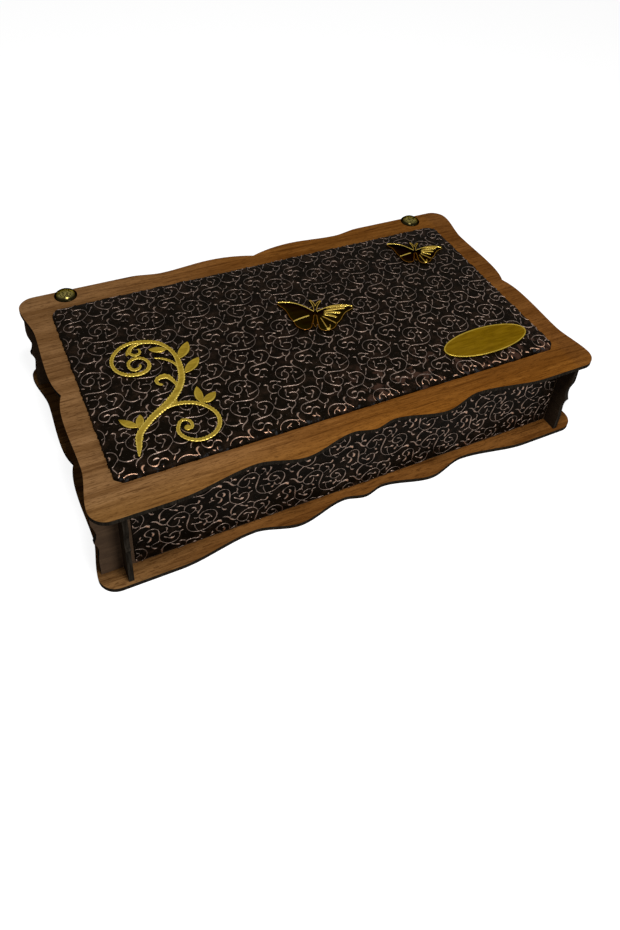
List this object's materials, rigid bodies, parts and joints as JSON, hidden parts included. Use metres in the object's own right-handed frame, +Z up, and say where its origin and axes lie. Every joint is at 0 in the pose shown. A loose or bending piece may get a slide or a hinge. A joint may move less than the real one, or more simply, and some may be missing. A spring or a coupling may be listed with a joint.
{
  "type": "baklava box",
  "caption": "Shallow hinged sweet box of walnut-faced board with wavy plates, dark scroll-pattern leatherette and gilt ornaments on its lid.",
  "frame": {"origin": "on the surface the box rests on, in the middle of its outer size", "axes": "+X along the box, +Y from the front to the hinged back, +Z up"},
  "size_m": [0.34, 0.2027, 0.0688],
  "materials": {
    "walnut_board": "walnut-faced board, satin, with dark laser-cut edges",
    "leatherette": "near-black embossed leatherette with worn copper scrolls",
    "gilt": "gilt mirror sheet",
    "olive_gilt": "darker gilt sheet with a brighter rim",
    "antique_brass": "antique brass",
    "card": "coated food card"
  },
  "bodies": {
    "box": {"bottom_plate": "walnut_board", "front_wall": "walnut_board", "back_wall": "walnut_board", "left_end_wall": "walnut_board", "right_end_wall": "walnut_board", "front_wall_cover": "leatherette", "back_wall_cover": "leatherette", "left_end_cover": "leatherette", "right_end_cover": "leatherette", "floor_liner": "card", "wall_leaf_rivets": "antique_brass", "wall_rivet_washers": "antique_brass", "hinge_wall_leaf_left": "antique_brass", "hinge_wall_leaf_right": "antique_brass", "hinge_pin_left": "antique_brass", "hinge_pin_right": "antique_brass"},
    "lid": {"lid_plate": "walnut_board", "pad_board": "walnut_board", "pad_cover": "leatherette", "hinge_lid_leaf_left": "antique_brass", "hinge_lid_leaf_right": "antique_brass", "dome_rivets": "antique_brass", "dome_rivet_washers": "antique_brass", "scroll_ornament": "gilt", "middle_butterfly": "gilt", "corner_butterfly": "gilt", "oval_plate": "olive_gilt"}
  },
  "joints": [
    {"name": "lid_hinge", "type": "hinge", "parent": "box", "child": "lid", "pos_m": [0, 0.08515, 0.0585], "axis": [-1, 0, 0], "range_deg": [0, 95]}
  ]
}
